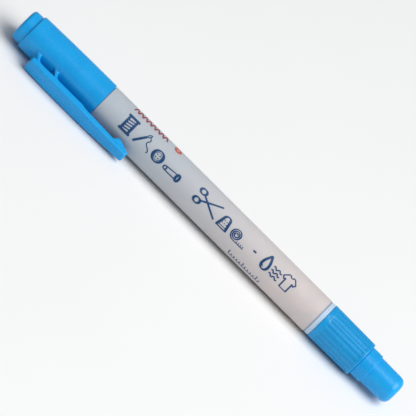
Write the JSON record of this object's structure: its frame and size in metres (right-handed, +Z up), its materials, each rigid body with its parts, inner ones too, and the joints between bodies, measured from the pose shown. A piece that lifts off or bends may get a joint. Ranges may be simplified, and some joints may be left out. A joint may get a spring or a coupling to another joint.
{
  "type": "fabric marking pen",
  "caption": "Twin-tip fabric marking pen: clipped main cap, milky barrel, ribbed fine-nib section and small nose cap.",
  "frame": {"origin": "under the middle of the pen's box, on the surface that the pen lies on", "axes": "+X along the pen from the main cap's end to the nose cap's end, +Z up, the clip on the -Y side with its edge on the surface"},
  "size_m": [0.1382, 0.0154, 0.0113],
  "materials": {
    "blue_plastic": "satin moulded polypropylene",
    "milky_barrel": "milky translucent polypropylene",
    "white_liner": "soft moulded polyethylene",
    "nib_fibre": "bonded polyester fibre",
    "inked_fibre": "polyester fibre bundle soaked in blue ink",
    "clear_film": "clear wrapping film",
    "steel_tube": "drawn stainless tube"
  },
  "bodies": {
    "pen": {"barrel": "milky_barrel", "main_section": "blue_plastic", "main_nib": "nib_fibre", "ink_reservoir": "inked_fibre", "reservoir_film": "clear_film", "fine_section": "blue_plastic", "fine_nib_sleeve": "steel_tube", "fine_nib": "nib_fibre"},
    "cap": {"cap_shell": "blue_plastic", "cap_end_plug": "blue_plastic", "inner_cap": "white_liner", "clip_root": "blue_plastic"},
    "clip": {"clip_arm": "blue_plastic"},
    "fine_cap": {"fine_cap_shell": "blue_plastic", "fine_cap_liner": "white_liner"}
  },
  "joints": [
    {"name": "cap_pull", "type": "slide", "parent": "pen", "child": "cap", "axis": [-1, 0, 0], "range_m": [0, 0.04]},
    {"name": "clip_flex", "type": "hinge", "parent": "cap", "child": "clip", "pos_m": [-0.05058, -0.00581, 0.00276], "axis": [0, 0.345, -0.9386], "range_deg": [0, 6], "stiffness_Nm_per_rad": 0.3},
    {"name": "fine_cap_pull", "type": "slide", "parent": "pen", "child": "fine_cap", "axis": [1, 0, 0], "range_m": [0, 0.02]}
  ]
}
